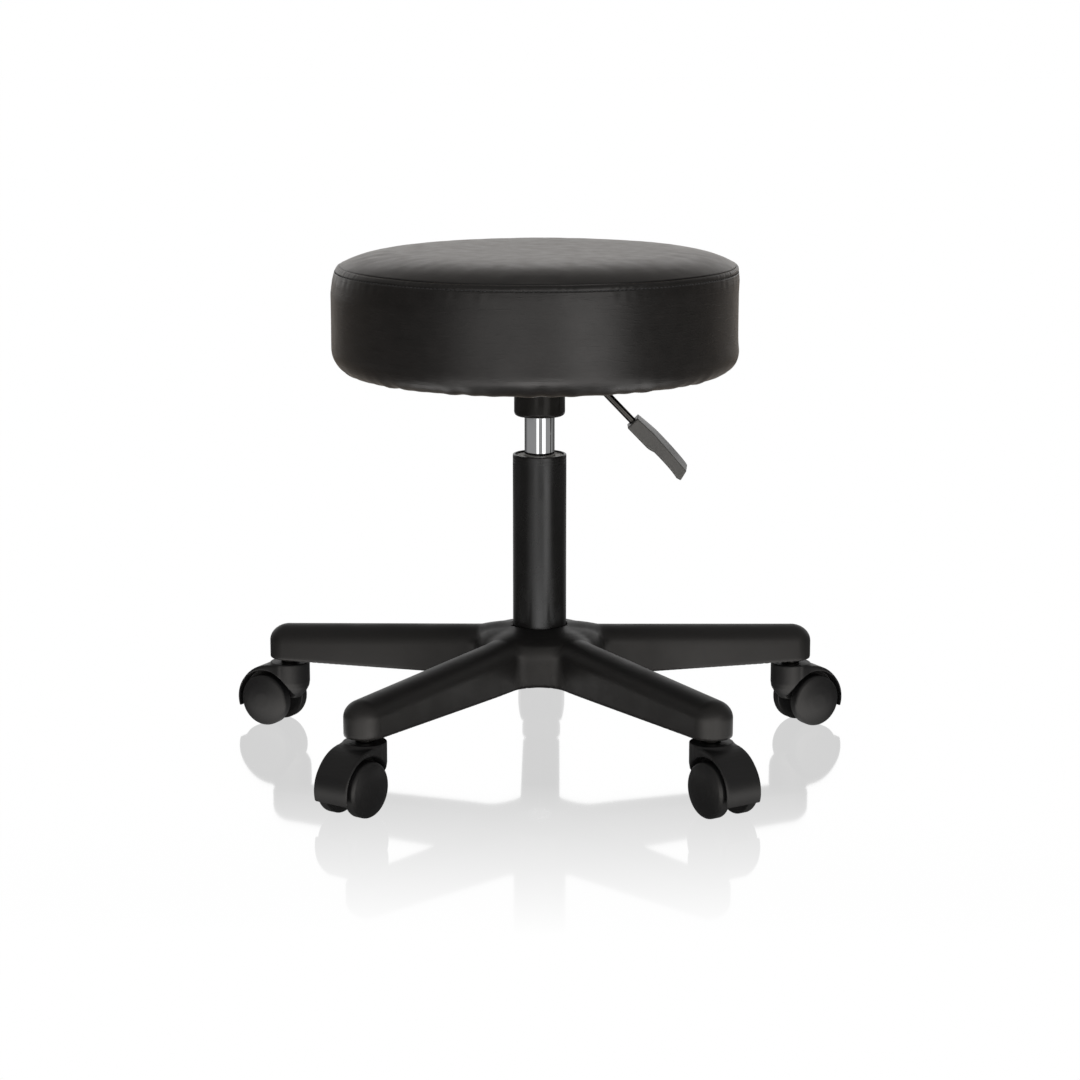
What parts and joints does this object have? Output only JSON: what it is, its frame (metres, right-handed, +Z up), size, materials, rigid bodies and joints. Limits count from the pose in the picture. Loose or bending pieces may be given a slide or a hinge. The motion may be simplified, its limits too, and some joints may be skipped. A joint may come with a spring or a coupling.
{
  "type": "swivel stool",
  "caption": "Round padded stool seat on a height-adjustable gas lift with a side release lever, over a star base on swivel casters.",
  "frame": {"origin": "middle of the footprint on the floor, under the stool; the column stands 23.5 mm towards -Y from it, because one arm points straight back", "axes": "+Z up, +X towards the lever side, -Y towards the front"},
  "size_m": [0.5924, 0.5648, 0.4708],
  "materials": {
    "base_nylon": "fine moulded texture",
    "caster_nylon": "satin moulded",
    "column_steel": "satin black paint",
    "black_steel": "black powder coat",
    "bright_steel": "ground and polished",
    "zinc_steel": "zinc plated",
    "bush_nylon": "natural nylon",
    "bump_rubber": "matte",
    "cup_plastic": "glossy",
    "grip_plastic": "satin moulded",
    "plywood": "sanded birch plywood",
    "foam": "open-cell foam",
    "leatherette": "soft grained leatherette, satin",
    "dust_cloth": "non-woven cloth"
  },
  "bodies": {
    "base": {"star_base": "base_nylon", "column_tube": "column_steel", "guide_bush": "bush_nylon", "bearing_race_lower": "bright_steel"},
    "lift_rod": {"piston_rod": "bright_steel", "piston_head": "zinc_steel", "bearing_ball_cage": "bright_steel", "bearing_race_upper": "bright_steel", "bump_stop": "bump_rubber", "end_washer": "zinc_steel", "retaining_clip": "zinc_steel"},
    "seat": {"pressure_tube": "bright_steel", "rod_guide": "bush_nylon", "valve_body": "zinc_steel", "taper_socket": "black_steel", "socket_cover": "cup_plastic", "mounting_plate": "black_steel", "lever_bracket": "black_steel", "lever_pivot_pin": "zinc_steel", "seat_board": "plywood", "seat_foam": "foam", "seat_cover": "leatherette", "dust_cover": "dust_cloth", "seat_bolt_1": "zinc_steel", "seat_bolt_2": "zinc_steel", "seat_bolt_3": "zinc_steel", "seat_bolt_4": "zinc_steel", "t_nut_1": "zinc_steel", "t_nut_2": "zinc_steel", "t_nut_3": "zinc_steel", "t_nut_4": "zinc_steel"},
    "lever": {"lever_rod": "black_steel", "lever_grip": "grip_plastic"},
    "release": {"release_pin": "bright_steel"},
    "caster_1": {"caster_body_1": "caster_nylon", "caster_stem_1": "zinc_steel", "caster_axle_1": "zinc_steel"},
    "roller_left_1": {"wheel_left_1": "caster_nylon"},
    "roller_right_1": {"wheel_right_1": "caster_nylon"},
    "caster_2": {"caster_body_2": "caster_nylon", "caster_stem_2": "zinc_steel", "caster_axle_2": "zinc_steel"},
    "roller_left_2": {"wheel_left_2": "caster_nylon"},
    "roller_right_2": {"wheel_right_2": "caster_nylon"},
    "caster_3": {"caster_body_3": "caster_nylon", "caster_stem_3": "zinc_steel", "caster_axle_3": "zinc_steel"},
    "roller_left_3": {"wheel_left_3": "caster_nylon"},
    "roller_right_3": {"wheel_right_3": "caster_nylon"},
    "caster_4": {"caster_body_4": "caster_nylon", "caster_stem_4": "zinc_steel", "caster_axle_4": "zinc_steel"},
    "roller_left_4": {"wheel_left_4": "caster_nylon"},
    "roller_right_4": {"wheel_right_4": "caster_nylon"},
    "caster_5": {"caster_body_5": "caster_nylon", "caster_stem_5": "zinc_steel", "caster_axle_5": "zinc_steel"},
    "roller_left_5": {"wheel_left_5": "caster_nylon"},
    "roller_right_5": {"wheel_right_5": "caster_nylon"}
  },
  "joints": [
    {"name": "seat_swivel", "type": "hinge", "parent": "base", "child": "lift_rod", "pos_m": [0.00015, -0.02346, 0.0782], "axis": [0, 0, 1], "continuous": true},
    {"name": "seat_height", "type": "slide", "parent": "lift_rod", "child": "seat", "axis": [0, 0, 1], "range_m": [-0.034, 0.086]},
    {"name": "lever_pull", "type": "hinge", "parent": "seat", "child": "lever", "pos_m": [0.03015, -0.02346, 0.351], "axis": [0, -1, 0], "range_deg": [0, 5.5], "stiffness_Nm_per_rad": 3},
    {"name": "release_press", "type": "slide", "parent": "seat", "child": "release", "axis": [0, 0, -1], "range_m": [0, 0.003]},
    {"name": "caster_swivel_1", "type": "hinge", "parent": "base", "child": "caster_1", "pos_m": [0.244, 0.05577, 0.064], "axis": [0, 0, 1], "continuous": true},
    {"name": "wheel_roll_left_1", "type": "hinge", "parent": "caster_1", "child": "roller_left_1", "pos_m": [0.26011, 0.06488, 0.025], "axis": [-0.4924, 0.8704, 0], "continuous": true},
    {"name": "wheel_roll_right_1", "type": "hinge", "parent": "caster_1", "child": "roller_right_1", "pos_m": [0.26011, 0.06488, 0.025], "axis": [-0.4924, 0.8704, 0], "continuous": true},
    {"name": "caster_swivel_2", "type": "hinge", "parent": "base", "child": "caster_2", "pos_m": [0.00015, 0.23294, 0.064], "axis": [0, 0, 1], "continuous": true},
    {"name": "wheel_roll_left_2", "type": "hinge", "parent": "caster_2", "child": "roller_left_2", "pos_m": [0.00015, 0.25144, 0.025], "axis": [-1, 0, 0], "continuous": true},
    {"name": "wheel_roll_right_2", "type": "hinge", "parent": "caster_2", "child": "roller_right_2", "pos_m": [0.00015, 0.25144, 0.025], "axis": [-1, 0, 0], "continuous": true},
    {"name": "caster_swivel_3", "type": "hinge", "parent": "base", "child": "caster_3", "pos_m": [-0.2437, 0.05577, 0.064], "axis": [0, 0, 1], "continuous": true},
    {"name": "wheel_roll_left_3", "type": "hinge", "parent": "caster_3", "child": "roller_left_3", "pos_m": [-0.26018, 0.06417, 0.025], "axis": [-0.454, -0.891, 0], "continuous": true},
    {"name": "wheel_roll_right_3", "type": "hinge", "parent": "caster_3", "child": "roller_right_3", "pos_m": [-0.26018, 0.06417, 0.025], "axis": [-0.454, -0.891, 0], "continuous": true},
    {"name": "caster_swivel_4", "type": "hinge", "parent": "base", "child": "caster_4", "pos_m": [-0.15055, -0.23089, 0.064], "axis": [0, 0, 1], "continuous": true},
    {"name": "wheel_roll_left_4", "type": "hinge", "parent": "caster_4", "child": "roller_left_4", "pos_m": [-0.16117, -0.24605, 0.025], "axis": [0.8192, -0.5736, 0], "continuous": true},
    {"name": "wheel_roll_right_4", "type": "hinge", "parent": "caster_4", "child": "roller_right_4", "pos_m": [-0.16117, -0.24605, 0.025], "axis": [0.8192, -0.5736, 0], "continuous": true},
    {"name": "caster_swivel_5", "type": "hinge", "parent": "base", "child": "caster_5", "pos_m": [0.15086, -0.23089, 0.064], "axis": [0, 0, 1], "continuous": true},
    {"name": "wheel_roll_left_5", "type": "hinge", "parent": "caster_5", "child": "roller_left_5", "pos_m": [0.16107, -0.24632, 0.025], "axis": [0.8339, 0.5519, 0], "continuous": true},
    {"name": "wheel_roll_right_5", "type": "hinge", "parent": "caster_5", "child": "roller_right_5", "pos_m": [0.16107, -0.24632, 0.025], "axis": [0.8339, 0.5519, 0], "continuous": true}
  ],
  "couplings": [
    {"joint": "release_press", "follows": "lever_pull", "m_per_rad": 0.03}
  ]
}
